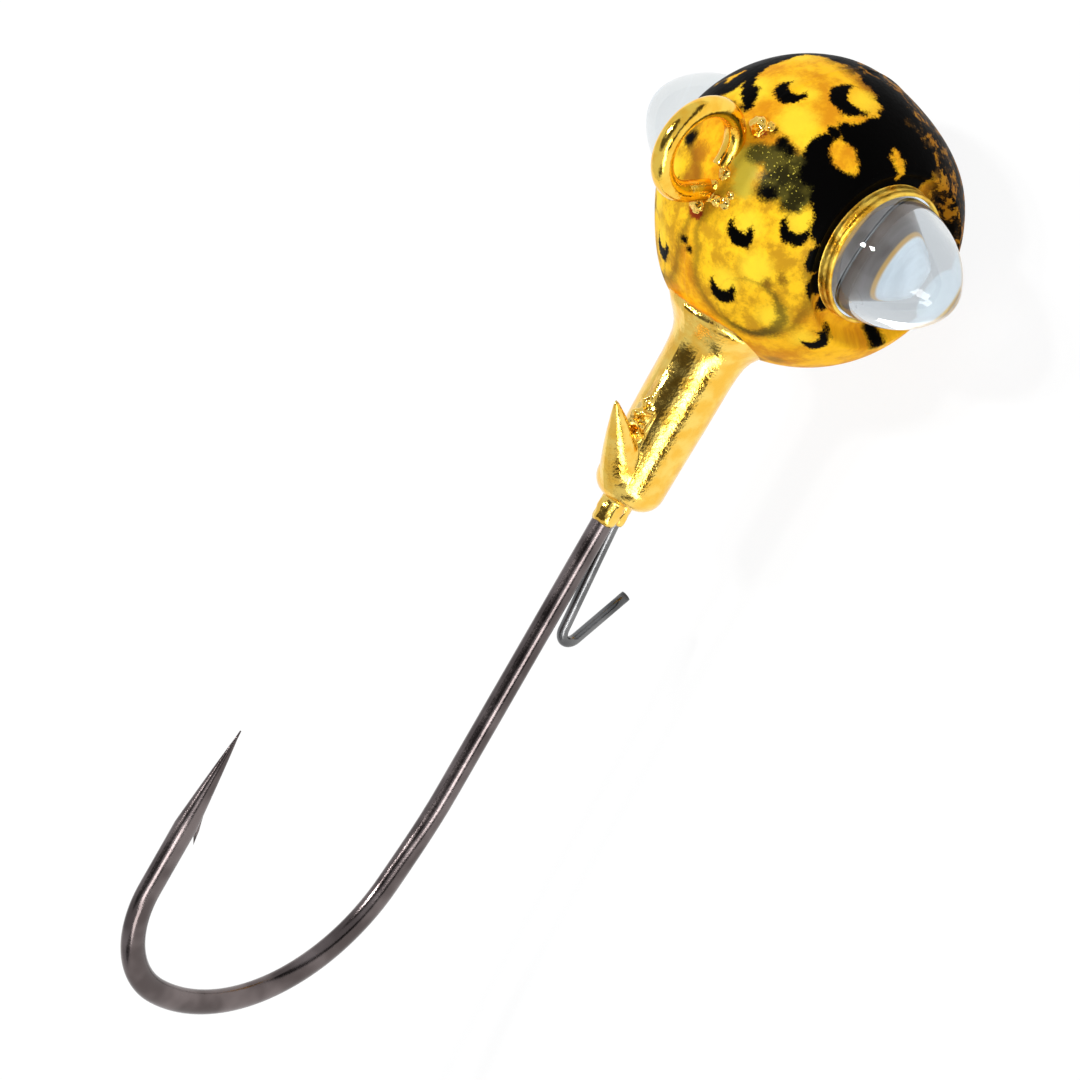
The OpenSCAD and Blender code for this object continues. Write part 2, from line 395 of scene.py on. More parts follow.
# %% Black nickel and bright wire
def make_wire_metal(name, dark, light, rough, lumps):
    """Drawn wire: broad dark and light patches and a satin roughness."""
    material, tree, shader = new_material(name)
    place = object_place(tree, (0, 0, 0))
    surface = grain(tree, place, 14.0, 0.6)
    set_input(tree, shader, "Base Color", blend_colour(tree, surface["Patches"], dark, light))
    shader.inputs["Metallic"].default_value = 1.0
    set_input(tree, shader, "Roughness", ease(tree, surface["Height"], 0.3, 0.7, rough * 0.7, rough * 1.4))
    set_input(tree, shader, "Normal", bump(tree, surface["Height"], 1.0, lumps))
    return material


black_nickel = make_wire_metal("black_nickel", (0.1, 0.081, 0.079, 1), (0.19, 0.158, 0.155, 1), 0.2, 0.006)
spring_steel = make_wire_metal("spring_steel", (0.1, 0.101, 0.103, 1), (0.21, 0.21, 0.21, 1), 0.26, 0.006)
print("metals:", gold_ring.name, gold_casting.name, black_nickel.name, spring_steel.name)

# %% [markdown]
# ## The lacquer
# The ball was airbrushed: yellow over the gold, black spots with soft edges, and a black patch round
# each eye. Each spot is a disc with a bite out of it, a crescent. One node group makes a crescent
# from a centre, a radius and a bite, and the material lays many of them on the yellow. The pattern
# is mirrored on the other half, as both halves of the head were painted alike.


# %% Crescent group
def make_crescent_group():
    """A soft-edged disc with a bite out of it: 1 on the spot, 0 off it."""
    group = bpy.data.node_groups.new("crescent", "ShaderNodeTree")
    add_sockets(group, "INPUT", Place="Vector", Centre="Vector", Radius="Float")
    add_sockets(group, "INPUT", Bite_Centre="Vector", Bite_Radius="Float", Softness="Float")
    add_sockets(group, "OUTPUT", Mask="Float")
    start = group.nodes.new("NodeGroupInput").outputs
    end = group.nodes.new("NodeGroupOutput")
    from_centre = vector_maths(group, "DISTANCE", start["Place"], start["Centre"])
    from_bite = vector_maths(group, "DISTANCE", start["Place"], start["Bite Centre"])
    inside = maths(group, "SUBTRACT", start["Radius"], from_centre)
    clear = maths(group, "SUBTRACT", from_bite, start["Bite Radius"])
    inside = maths(group, "DIVIDE", inside, start["Softness"])
    clear = maths(group, "DIVIDE", clear, start["Softness"])
    mask = ease(group, maths(group, "MINIMUM", inside, clear), -0.5, 0.5)
    group.links.new(mask, end.inputs["Mask"])
    return group


crescent_group = make_crescent_group()


def on_ball(around, up, radius=ball_r):
    """The point of the ball at an angle around from the nose to the right side, and up from its middle."""
    turned, raised = radians(around), radians(up)
    return radius * Vector((cos(turned) * cos(raised), -sin(turned) * cos(raised), sin(raised)))


def crescent(tree, place, around, up, radius, bite_turn=0, bite_depth=None, bite_radius=0.1, softness=0.14):
    """A spot on the ball. bite_turn is the bite's way, clockwise from up. No bite_depth means no bite."""
    far_off = 9
    centre = on_ball(around, up)
    outwards = centre.normalized()
    way_up = (Vector((0, 0, 1)) - outwards * outwards.z).normalized()
    clockwise = way_up.cross(outwards)
    bite_way = cos(radians(bite_turn)) * way_up + sin(radians(bite_turn)) * clockwise
    bite_at = centre + (far_off * outwards if bite_depth is None else bite_depth * bite_way)
    node = tree.nodes.new("ShaderNodeGroup")
    node.node_tree = crescent_group
    tree.links.new(place, node.inputs["Place"])
    names = ("Centre", "Radius", "Bite Centre", "Bite Radius", "Softness")
    for name, value in zip(names, (centre, radius, bite_at, bite_radius, softness)):
        node.inputs[name].default_value = value
    return node.outputs["Mask"]


print("crescent group ready")

# %% [markdown]
# ### Where the spots are
# Places are angles on the ball, in degrees: around from the nose to the right side, and up. The
# radius is in millimetres. A crescent adds the bite's turn, its distance and its radius. A blotch
# with no clear outline, such as the black patch, is a cluster of overlapping discs: that is easier
# to move about than an outline, and its edge comes out uneven, as sprayed paint does. Most spots
# are mirrored, but a few of them, the olive mist and the stains are on one side only.

# %% Where the spots are
CRESCENTS = [
    (122, 66, 0.55, 52, 0.37, 0.39), (93, 52, 0.55, 82, 0.37, 0.39), (154, 47, 0.54, 25, 0.35, 0.38),
    (1, 48, 0.56, 170, 0.37, 0.41), (129, 13, 0.54, -6, 0.34, 0.36),
]
BIG_CRESCENT = (18, 31, 0.8, -174, 0.56, 0.65)
OLIVE_ARC = (143, 37, 1.3, -30, 0.26, 1.16)

DISCS = {
    "dots": [(78, 67, 0.34), (20, 63, 0.17), (34, 62, 0.26), (41, 60, 0.24), (119, -14, 0.35)],
    "lone dots": [(-176, 62, 0.2), (178, 59, 0.16), (9, 83, 0.18)],
    "eye patch": [
        (57, 35, 1.47), (69, 34, 1.6), (68, 40, 1.15), (84, 40, 0.75), (99, 37, 0.62), (110, 30, 0.56),
        (116, 20, 0.46), (46, 48, 0.7), (57, 51, 0.55), (37, 25, 0.8), (30, 17, 0.65), (27, 9, 0.5),
        (22, 12, 0.5), (16, 15, 0.45), (8, 14, 0.45), (1, 8, 0.4), (40, 13, 0.8), (44, 4, 0.5),
        (52, 12, 1.0), (42, 32, 0.9), (85, 22, 1.6), (38, 47, 0.3), (35, 43, 0.28), (34, 38, 0.32),
        (21, 17, 0.42), (15, 8, 0.5), (9, 16, 0.4), (-12, 13, 0.3),
    ],
    "islands": [
        (44, 42, 0.38), (48, 41, 0.44), (52, 39, 0.36), (45, 20, 0.16), (48, 19, 0.22), (51, 18, 0.18),
        (30, 9, 0.22), (32, 6, 0.26), (34, 3, 0.22),
    ],
    "far edge": [
        (-27, 22, 0.4), (-29, 28, 0.5), (-31, 34, 0.5), (-33, 39, 0.5), (-36, 44, 0.5), (-40, 47, 0.45),
        (-33, 46, 0.36), (-29, 50, 0.33), (-24, 54, 0.32), (-20, 58, 0.31), (-16, 62, 0.27), (-53, 44, 0.34),
        (-52, 37, 0.36), (-52, 29, 0.36), (-47, 24, 0.36), (-41, 20, 0.34), (-46, 36, 0.4), (-44, 30, 0.4),
    ],
    "pale field": [(127, 63, 1.75), (93, 53, 1.57), (137, 47, 2.1)],
    "glints": [
        (20, 26, 0.5), (22, 54, 0.7), (38, 53, 0.4), (113, 66, 0.5), (87, 52, 0.45), (150, 50, 0.5),
        (127, 52, 0.6), (132, 17, 0.4), (135, 32, 0.5), (8, 44, 0.3),
    ],
    "olive": [(46, 64, 0.66), (58, 57, 0.75), (68, 65, 0.65), (74, 57, 0.6), (66, 51, 0.6), (37, 71, 0.45)],
    "pale olive": [(35, 77, 0.5), (62, 77, 0.45), (84, 76, 0.35)],
    "hole stain": [(-75, 78, 0.4), (-110, 80, 0.36), (-125, 77, 0.3)],
    # Painted shade, low at the back of the ball.
    "low painted shade": [(178, 14, 0.42), (172, 8, 0.42), (163, 5, 0.4), (153, 6, 0.36)],
    "smudges": [(126, 45, 0.2), (118, 43, 0.2), (99, 24, 0.3)],
    "rust": [(12, 67, 0.3), (-176, 75, 0.34)],
    "dark nose": [(0, -40, 5.6)],
}


def darkest(tree, masks):
    """The strongest of several masks."""
    result = masks[0]
    for mask in masks[1:]:
        result = maths(tree, "MAXIMUM", result, mask)
    return result


def discs(tree, place, name, softness, grow=0.0):
    """One mask of the discs under a name, all made larger by grow."""
    spots = [(around, up, radius + grow) for around, up, radius in DISCS[name]]
    return darkest(tree, [crescent(tree, place, *spot, softness=softness) for spot in spots])


def without(tree, mask, hole):
    """A mask with another one cut out of it."""
    return maths(tree, "MULTIPLY", mask, maths(tree, "SUBTRACT", 1.0, hole))


print("spots:", {name: len(spots) for name, spots in DISCS.items()})


# %% [markdown]
# ### The layers of the lacquer
# The layers go on in the order in which a painter would lay them: mottled yellow, paler fields and
# their thin dark rims, olive mist beside the ring, stains where the ring goes in, rust, a dark nose,
# and black last. Painted shade low at the back of the ball goes on among them. Each has its mask and
# its colour. A place pushed about by noise is read instead of the true one, so that every edge is
# ragged. The skin has next to no gloss, and the black has the least, because the pale sky would turn
# it grey.

# %% Lacquer places
# How the edges are pushed about: the noise's scale, and how far it reaches.
DRIFT, SPECKLE = (1.8, 0.4), (13.0, 0.3)


def ball_places(tree):
    """The surface point, that point on the plain ball, its mirror image on the right side, and a push."""
    surface_place = object_place(tree, ball_at)
    place = vector_maths(tree, "MULTIPLY", vector_maths(tree, "NORMALIZE", surface_place), (ball_r,) * 3)
    parts = parts_of(tree, place)
    right_side = maths(tree, "MULTIPLY", maths(tree, "ABSOLUTE", parts["Y"]), -1.0)
    mirrored = add_node(tree, "ShaderNodeCombineXYZ", X=parts["X"], Y=right_side, Z=parts["Z"]).outputs[0]
    pushes = []
    for scale, reach in (DRIFT, SPECKLE):
        push = noise_value(tree, surface_place, scale, colour=True)
        push = vector_maths(tree, "SUBTRACT", push, (0.5, 0.5, 0.5))
        pushes.append(vector_maths(tree, "MULTIPLY", push, (reach,) * 3))
    return surface_place, place, mirrored, vector_maths(tree, "ADD", *pushes)


print("edges are pushed up to", DRIFT[1] / 2 + SPECKLE[1] / 2, "mm")


# %% Lacquer layers
def yellow_layers(tree, place, ragged):
    """Mottled yellow with paler fields, their rims, and a few bright glints."""
    tone = clouds(tree, place, 0.7, 8.0, 0.7, 0.38, 0.62)
    colour = blend_colour(tree, tone, (0.6, 0.235, 0.008, 1), (0.86, 0.46, 0.013, 1))
    tone = clouds(tree, place, 1.4, 8.0, 0.7, 0.4, 0.6)
    field_colour = blend_colour(tree, tone, (0.44, 0.25, 0.012, 1), (0.84, 0.5, 0.016, 1))
    field = discs(tree, ragged, "pale field", 0.4, -0.12)
    rim = without(tree, discs(tree, ragged, "pale field", 0.6, 0.25), field)
    colour = lay(tree, colour, rim, 0.75, (0.13, 0.085, 0.008, 1))
    colour = lay(tree, colour, field, 0.75, field_colour)
    return lay(tree, colour, discs(tree, ragged, "glints", 0.7), 0.85, (0.88, 0.58, 0.03, 1))


def mist_layers(tree, colour, place, ragged, one_sided):
    """The olive mist and its arc, painted shade low at the back, smudges, stains and rust."""
    colour = lay(tree, colour, crescent(tree, ragged, *OLIVE_ARC, softness=0.3), 0.8, (0.06, 0.045, 0.008, 1))
    # A darker patch low at the back of the ball is painted shade.
    colour = lay(tree, colour, discs(tree, ragged, "low painted shade", 0.4), 0.6, (0.22, 0.12, 0.012, 1))
    colour = lay(tree, colour, discs(tree, ragged, "smudges", 0.3), 0.8, (0.1, 0.035, 0.006, 1))
    tone = clouds(tree, place, 1.6, 2.0, 0.5, 0.4, 0.6)
    olive = blend_colour(tree, tone, (0.02, 0.017, 0.004, 1), (0.075, 0.062, 0.01, 1))
    flecks = clouds(tree, place, 13.0, 1.0, 0.5, 0.66, 0.72)
    olive = blend_colour(tree, flecks, olive, (0.55, 0.45, 0.06, 1))
    colour = blend_colour(tree, discs(tree, one_sided, "pale olive", 0.4), colour, (0.5, 0.38, 0.035, 1))
    colour = blend_colour(tree, discs(tree, one_sided, "olive", 0.35), colour, olive)
    colour = lay(tree, colour, discs(tree, one_sided, "hole stain", 0.35), 0.75, (0.3, 0.1, 0.008, 1))
    return blend_colour(tree, discs(tree, one_sided, "rust", 0.2), colour, (0.22, 0.03, 0.006, 1))


def nose_layers(tree, colour, surface_place, ragged):
    """The nose: brown all over, with flecked black broken up over it."""
    nose = discs(tree, ragged, "dark nose", 0.9)
    colour = lay(tree, colour, nose, 0.8, (0.27, 0.1, 0.008, 1))
    broken = maths(tree, "MULTIPLY", nose, clouds(tree, surface_place, 1.6, 4.0, 0.7, 0.59, 0.51))
    flecks = clouds(tree, surface_place, 3.5, 6.0, 0.7, 0.5, 0.68)
    flecked = blend_colour(tree, flecks, (0.003, 0.002, 0.001, 1), (0.11, 0.05, 0.008, 1))
    return blend_colour(tree, broken, colour, flecked)


def black_mask(tree, ragged, one_sided):
    """Everything black: crescents, dots, the eye patch with its islands left out, and the far edge."""
    black = [crescent(tree, ragged, *spot) for spot in CRESCENTS]
    black.append(crescent(tree, one_sided, *BIG_CRESCENT))
    black.append(discs(tree, ragged, "dots", 0.3))
    black.append(discs(tree, one_sided, "lone dots", 0.2))
    black.append(without(tree, discs(tree, ragged, "eye patch", 0.16), discs(tree, ragged, "islands", 0.18)))
    black.append(discs(tree, one_sided, "far edge", 0.14))
    return darkest(tree, black)


print("layers ready")


# %% Lacquer
def make_lacquer():
    """Airbrushed yellow lacquer with black crescents and a black patch round the eye."""
    material, tree, shader = new_material("lacquer")
    surface_place, place, mirrored, push = ball_places(tree)
    ragged = vector_maths(tree, "ADD", mirrored, push)
    one_sided = vector_maths(tree, "ADD", place, push)
    colour = yellow_layers(tree, place, ragged)
    colour = mist_layers(tree, colour, place, ragged, one_sided)
    colour = nose_layers(tree, colour, surface_place, ragged)
    black = black_mask(tree, ragged, one_sided)
    set_input(tree, shader, "Base Color", blend_colour(tree, black, colour, (0.001, 0.0009, 0.0008, 1)))
    shader.inputs["Specular IOR Level"].default_value = 0.01
    shader.inputs["Coat Roughness"].default_value = 0.2
    set_input(tree, shader, "Coat Weight", ease(tree, black, 0.0, 1.0, 0.02, 0.004))
    surface = grain(tree, surface_place, 6.0, 1.2)
    set_input(tree, shader, "Roughness", ease(tree, surface["Height"], 0.3, 0.7, 0.35, 0.5))
    set_input(tree, shader, "Normal", bump(tree, surface["Height"], 1.0, 0.03))
    return material


lacquer = make_lacquer()
print("lacquer:", len(lacquer.node_tree.nodes), "nodes")


# %% [markdown]
# ## Clear studs and what lies behind them
# A clear stud shows what is behind it, bent and turned over, so its look is made by three materials.
# The stud itself is plain and polished. The socket's lining is dark at its foot, which is painted shade,
# with a gold line past the dark; farther out and on its upper side it is pale, which is painted light as
# if lit from above. The cement is pale, with gold low down.
# Little light finds its way into so small a hole, so both also give off light of their own, up to
# about the brightness of the sky. Without it the studs would come out dark.

# %% Clear stud, socket lining and cement
glow_strength = 1.0
socket_grain = (8.0, 2.0)
# lit_upper_wall and painted_light_edge say where the lining's painted light lies.
lit_upper_wall = (-0.6, 0.4)
gold_glow_edge, gold_edge, painted_light_edge = (3.12, 3.16), (3.14, 3.18), (3.22, 3.3)
cement_gold_edge = (-1.5, -1.75)


def make_clear():
    """Clear stud: plain, polished and solid, so its look comes from what it bends and mirrors."""
    material, tree, shader = new_material("clear_stud")
    set_input(tree, shader, "Base Color", (0.75, 0.785, 0.795, 1))
    set_input(tree, shader, "Metallic", 0.0)
    set_input(tree, shader, "Transmission Weight", 1.0)
    set_input(tree, shader, "IOR", 1.49)
    set_input(tree, shader, "Roughness", 0.0)
    return material


def make_lining():
    """The socket's wall: dark painted shade deep down, a gold line, then pale painted light, pale all along
    its upper side.
    """
    material, tree, shader = new_material("socket_lining")
    parts = parts_of(tree, object_place(tree, eye_at))
    # The upper side counts as farther out, so it gets the pale painted light, as if lit from above.
    raised = maths(tree, "MULTIPLY", ease(tree, parts["Z"], *lit_upper_wall), 2.0)
    depth = maths(tree, "ADD", maths(tree, "ABSOLUTE", parts["Y"]), raised)
    surface = grain(tree, object_place(tree, (0, 0, 0)), *socket_grain)
    # pale is painted light; the dark colour under it is painted shade.
    pale = ease(tree, depth, *painted_light_edge)
    colour = blend_colour(tree, surface["Patches"], (0.13, 0.1, 0.1, 1), (0.26, 0.22, 0.23, 1))
    colour = blend_colour(tree, ease(tree, depth, *gold_edge), colour, (0.6, 0.36, 0.12, 1))
    set_input(tree, shader, "Base Color", blend_colour(tree, pale, colour, (0.78, 0.86, 0.94, 1)))
    set_input(tree, shader, "Roughness", ease(tree, surface["Height"], 0.3, 0.7, 0.3, 0.5))
    low_glow = blend_colour(tree, surface["Patches"], (0.055, 0.042, 0.028, 1), (0.13, 0.118, 0.112, 1))
    low_glow = blend_colour(tree, ease(tree, depth, *gold_glow_edge), low_glow, (0.42, 0.25, 0.06, 1))
    cloud = ease(tree, surface["Height"], 0.4, 0.6)
    pale_glow = blend_colour(tree, cloud, (0.44, 0.48, 0.52, 1), (0.62, 0.67, 0.72, 1))
    set_input(tree, shader, "Emission Color", blend_colour(tree, pale, low_glow, pale_glow))
    shader.inputs["Emission Strength"].default_value = glow_strength
    return material


def make_cement_material():
    """The cement behind the stud: pale, with the gold of the socket showing through it low down."""
    material, tree, shader = new_material("cement")
    place = object_place(tree, eye_at)
    surface = grain(tree, place, *socket_grain)
    low = ease(tree, parts_of(tree, place)["Z"], *cement_gold_edge)
    gold = blend_colour(tree, surface["Patches"], (0.35, 0.2, 0.05, 1), (0.7, 0.45, 0.12, 1))
    set_input(tree, shader, "Base Color", blend_colour(tree, low, (0.55, 0.57, 0.58, 1), gold))
    set_input(tree, shader, "Roughness", ease(tree, surface["Height"], 0.3, 0.7, 0.2, 0.4))
    set_input(tree, shader, "Emission Color", blend_colour(tree, low, (0.6, 0.67, 0.73, 1), gold))
    shader.inputs["Emission Strength"].default_value = glow_strength
    return material


clear_stud = make_clear()
socket_lining = make_lining()
cement_material = make_cement_material()
print("clear, lining and cement ready")


# %% [markdown]
# ## Making a piece
# Each piece starts as a bmesh in millimetres. Finishing it merges doubles, turns its faces outwards,
# scales it to metres and hangs it on the one body of the model. Round things are profiles spun about
# an axis, and wires are circles extruded from station to station: a curve object with a bevel would
# be quicker, but it couldn't be flattened on the bend.

# %% Piece helpers
merge_gap = 0.001


def finish_piece(bm, name, slot, materials, *nodes):
    """Turns a bmesh in millimetres into a piece that stands for CAD nodes."""
    bmesh.ops.remove_doubles(bm, verts=bm.verts, dist=merge_gap)
    bmesh.ops.recalc_face_normals(bm, faces=bm.faces)
    for face in bm.faces:
        face.smooth = True
    bmesh.ops.scale(bm, vec=(MM, MM, MM), verts=bm.verts)
    mesh = bpy.data.meshes.new(name)
    bm.to_mesh(mesh)
    bm.free()
    for material in materials:
        mesh.materials.append(material)
    piece = bpy.data.objects.new(name, mesh)
    bpy.context.scene.collection.objects.link(piece)
    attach(piece, "root")
    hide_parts(*nodes)
    print(f"{name}: {len(mesh.polygons)} faces")


def ring_edges(geometry):
    """The edges in what a bmesh operator returned."""
    return [item for item in geometry if isinstance(item, bmesh.types.BMEdge)]


def ring_verts(geometry):
    """The vertices in what a bmesh operator returned."""
    return [item for item in geometry if isinstance(item, bmesh.types.BMVert)]


def smooth(value, start, end):
    """0 before start, 1 after end, and smooth between them."""
    t = min(max((value - start) / (end - start), 0), 1)
    return t * t * (3 - 2 * t)


def spin_profile(bm, profile, centre, axis, side, steps):
    """Turns a profile of (radius, height) points, drawn towards side, once about an axis through centre."""
    axis, side = Vector(axis).normalized(), Vector(side).normalized()
    points = [bm.verts.new(Vector(centre) + side * radius + axis * height) for radius, height in profile]
    geometry = points + [bm.edges.new(pair) for pair in zip(points, points[1:])]
    bmesh.ops.spin(bm, geom=geometry, cent=centre, axis=axis, angle=2 * pi, steps=steps, use_merge=True)
    bmesh.ops.remove_doubles(bm, verts=bm.verts, dist=merge_gap)


def turned_part(profile, centre, axis, steps, side=(0, 1, 0)):
    """A bmesh of one turned profile."""
    bm = bmesh.new()
    spin_profile(bm, profile, centre, axis, side, steps)
    return bm


def sweep(bm, stations, sides):
    """A wire along stations of (x, z, heading, radius in the plane, radius across it), with capped ends."""
    before, ring = None, None
    for x, z, heading, in_plane, across in stations:
        here = Matrix.Translation((x, 0, z)) @ Matrix.Rotation(pi / 2 - heading, 4, "Y")
        here = here @ Matrix.Diagonal((in_plane, across, 1, 1))
        if ring is None:
            made = bmesh.ops.create_circle(bm, segments=sides, radius=1, cap_ends=True, matrix=here)
            ring = list({edge for vert in made["verts"] for edge in vert.link_edges})
        else:
            made = bmesh.ops.extrude_edge_only(bm, edges=ring)["geom"]
            verts = set(ring_verts(made))
            ring = [edge for edge in ring_edges(made) if verts.issuperset(edge.verts)]
            bmesh.ops.transform(bm, matrix=here @ before.inverted(), verts=ring_verts(made))
        before = here
    bmesh.ops.contextual_create(bm, geom=ring)


def arc_stations(centre, arc_r, start, end, steps, radius):
    """Stations of a round wire along an arc, from one angle to another, in degrees."""
    found = []
    for step in range(steps + 1):
        angle = radians(start + (end - start) * step / steps)
        heading = angle + (pi / 2 if end > start else -pi / 2)
        x, z = centre[0] + arc_r * cos(angle), centre[1] + arc_r * sin(angle)
        found.append((x, z, heading, radius, radius))
    return found


def run_stations(x, z, heading, length, steps, radius):
    """Stations of a round wire along a straight run from a place, without the place itself."""
    ways = [length * step / steps for step in range(1, steps + 1)]
    return [(x + cos(heading) * way, z + sin(heading) * way, heading, radius, radius) for way in ways]


print("piece helpers ready")

# %% [markdown]
# ## The hook
# The hook is one wire: a ring to tie the line to, a leg down into the ball, a straight shank, a bend
# in three tangent arcs and a spear point with a small barb. It is a circle swept along its centre
# line. The bend was forged, so the wire is a little deeper than wide there. The ring is plated with
# gold and the rest is black nickel, so they are two pieces that meet inside the ball.

# %% Hook centre line
ring_r = 1.62
leg_lean = 18
bend_start = ball_at.x - 24.05
entry_r, entry_turn = 33, 7
main_r, main_turn = 7.1, 93
heel_r = 3.7
leg_length, point_length, tip_dip, tip_r = 2.55, 3.85, 0.1, 0.025
spear_fullness, spear_steps = 0.85, 12
spur_root, spur_end = (0.75, -0.3), (-0.6, -0.93)
wire_sides = 32
heel_turn = 180 - entry_turn - main_turn


def tangent_centre(centre, radius, next_radius, turned):
    """The centre of the next, tighter arc, which starts where the wire has turned by that many degrees."""
    angle, closer = radians(turned), radius - next_radius
    return centre[0] - closer * sin(angle), centre[1] - closer * cos(angle)


entry_centre = (bend_start, shank_z + entry_r)
main_centre = tangent_centre(entry_centre, entry_r, main_r, entry_turn)
heel_centre = tangent_centre(main_centre, main_r, heel_r, entry_turn + main_turn)
point_x, point_z = heel_centre[0] + leg_length, heel_centre[1] + heel_r
print("bend from x", round(bend_start, 2), "to the point at", round(point_x, 2), round(point_z, 2))

# %% Hook piece
forged_growth, forged_loss = 0.07, 0.04
forged_along, forged_up = (0.5, 4.0), (1.0, 2.0)


def forged(x, z, heading, in_plane, across):
    """A station of the bend: flattened by forging, with its outer edge where round wire would have it."""
    share = max(smooth(bend_start - x, *forged_along), smooth(z - shank_z, *forged_up))
    grow = forged_growth * share * in_plane / wire_r
    x, z = x + grow * sin(heading), z - grow * cos(heading)
    return x, z, heading, in_plane + grow, across - forged_loss * share * across / wire_r


def make_hook():
    """Shank, bend and point in one swept wire, with the micro barb as a small wedge on it."""
    bm = bmesh.new()
    shank_front = ball_at.x - 1.0
    stations = [(shank_front, shank_z, pi, wire_r, wire_r)]
    stations += run_stations(shank_front, shank_z, pi, shank_front - bend_start, 12, wire_r)
    main_start, main_end = 270 - entry_turn, 270 - entry_turn - main_turn
    stations += arc_stations(entry_centre, entry_r, 270, main_start, 6, wire_r)[1:]
    stations += arc_stations(main_centre, main_r, main_start, main_end, 40, wire_r)
    stations += arc_stations(heel_centre, heel_r, 90 + heel_turn, 90, 30, wire_r)[1:]
    stations += run_stations(heel_centre[0], point_z, 0, leg_length, 5, wire_r)
    for step in range(1, spear_steps + 1):
        along = step / spear_steps
        radius = max(wire_r * (1 - along) ** spear_fullness, tip_r)
        stations.append((point_x + point_length * along, point_z - tip_dip * along, 0, radius, radius))
    sweep(bm, [forged(*station) for station in stations], wire_sides)
    root = Vector((point_x + spur_root[0], 0, point_z + spur_root[1]))
    spur = Vector((point_x + spur_end[0], 0, point_z + spur_end[1])) - root
    outline = [(0, -0.1), (0.16, 0), (0.1, spur.length * 0.6), (0, spur.length)]
    spin_profile(bm, outline, root, spur, (0, 1, 0), 16)
    finish_piece(bm, "hook", "black_nickel_wire", [black_nickel], "hook")


make_hook()

# %% Line-tie ring
ring_cut_end, leg_into_ball = -102, 3.0


def make_line_tie():
    """The ring, from its cut end round to its leg, and the leg down into the ball."""
    bm = bmesh.new()
    stations = arc_stations((0, 0), ring_r, ring_cut_end, 180 + leg_lean, 72, wire_r)
    stations += run_stations(*stations[-1][:3], leg_into_ball, 6, wire_r)
    sweep(bm, stations, wire_sides)
    finish_piece(bm, "line_tie", "plated_lead", [gold_ring], "hook")


make_line_tie()

# %% [markdown]
# ## The ball
# The ball is a sphere with its poles on the eyes' axis, so that its rings run round the eye seats.
# Each seat is a shallow dish: the rings there are slid on to the eye's axis and pressed down. The
# ring at the lip's foot is then extruded up, over and down again, which makes the lip, with a groove
# round it, and the socket in one skin with the ball. A Boolean would cut the same socket, but leave
# long thin faces at its edge. A hair-fine ridge on the middle ring is the mould's seam, and two shallow
# dents and a swelling keep the ball from being too round for a casting.

# %% Measures of the ball
lip_r, socket_r = 2.56, 2.4
dish_floor, dish_r, dish_rim_r, dish_depth, dish_blend = 3.97, 2.95, 4.2, 1.4, 0.06
slide_start, slide_end = 0.45, 0.72
seat_start = 3
socket_floor, lip_groove, lip_top, gold_line = 2.6, 4.26, 4.5, 4.34
seam_half, seam_height, seam_low, seam_high = 0.05, 0.035, 0.75, 1.5
eye_shift = eye_at - ball_at
u_steps, v_steps = 160, 120
LIP, LINING = 1, 2
# Each dent is: around, up, depth, and how many degrees it reaches.
DENTS = [(10, -19, 0.2, 38), (-128, 38, 0.14, 35), (-160, 26, -0.1, 30)]
# Each ring is: radius, distance from the middle plane, and the material of the faces before it.
LIP_RINGS = [
    (lip_r + 0.02, dish_floor + 0.04, LIP), (lip_r, dish_floor + 0.1, LIP),
    (lip_r - 0.01, lip_groove - 0.04, LIP), (lip_r - 0.08, lip_groove, LIP),
    (lip_r - 0.01, lip_groove + 0.04, LIP), (lip_r - 0.02, lip_top - 0.05, LIP),
    (lip_r - 0.05, lip_top - 0.01, LIP), (socket_r + 0.04, lip_top, LIP),
    (socket_r + 0.01, lip_top - 0.03, LIP), (socket_r, lip_top - 0.08, LIP), (socket_r, gold_line, LIP),
    (socket_r, socket_floor + 0.1, LINING), (socket_r - 0.1, socket_floor, LINING),
]
print("eye axis off the ball's centre by", round(eye_shift.x, 2), round(eye_shift.z, 2))


# %% The shape of the ball
def soft_min(a, b, blend):
    """The smaller of two numbers, rounded where they cross."""
    t = min(max(0.5 + 0.5 * (b - a) / blend, 0), 1)
    return b + (a - b) * t - blend * t * (1 - t)


def from_eye_axis(x, z):
    """The distance from the axis of the eyes, for a place measured from the ball's centre."""
    return hypot(x - eye_shift.x, z - eye_shift.z)


def ball_point(co):
    """Where a point of the plain sphere ends up on the cast ball."""
    away = 1 if co.y > 0 else -1
    shift = smooth(abs(co.y) / ball_r, slide_start, slide_end)
    x, z = co.x + shift * eye_shift.x, co.z + shift * eye_shift.z
    y = sqrt(max(ball_r**2 - x * x - z * z, 0))
    from_eye = from_eye_axis(x, z)
    dish = dish_floor + max(0, (from_eye - dish_r) / (dish_rim_r - dish_r)) * dish_depth
    if y > seat_start and from_eye < dish_rim_r:
        y = soft_min(y, dish, dish_blend)
    seam = 1
    if abs(co.y) < seam_half / 2:
        seam += seam_height / ball_r * smooth(z, seam_low - ball_r, seam_high - ball_r)
    found = Vector((x, away * y, z)) * seam
    for around, up, depth, reach in DENTS:
        outwards = on_ball(around, up, 1.0)
        apart = degrees(found.angle(outwards))
        found -= outwards * depth * smooth(reach - apart, 0, reach)
    return found


pole = ball_point(Vector((0, -ball_r, 0)))
print("the right pole goes to", [round(v, 2) for v in pole])


# %% Ball
def place_ring(verts, side, radius, height):
    """Puts a ring's vertices at a radius about an eye's axis and a distance from the middle plane."""
    for vert in verts:
        angle = atan2(vert.co.z - eye_shift.z, vert.co.x - eye_shift.x)
        vert.co = (eye_shift.x + radius * cos(angle), side * height, eye_shift.z + radius * sin(angle))


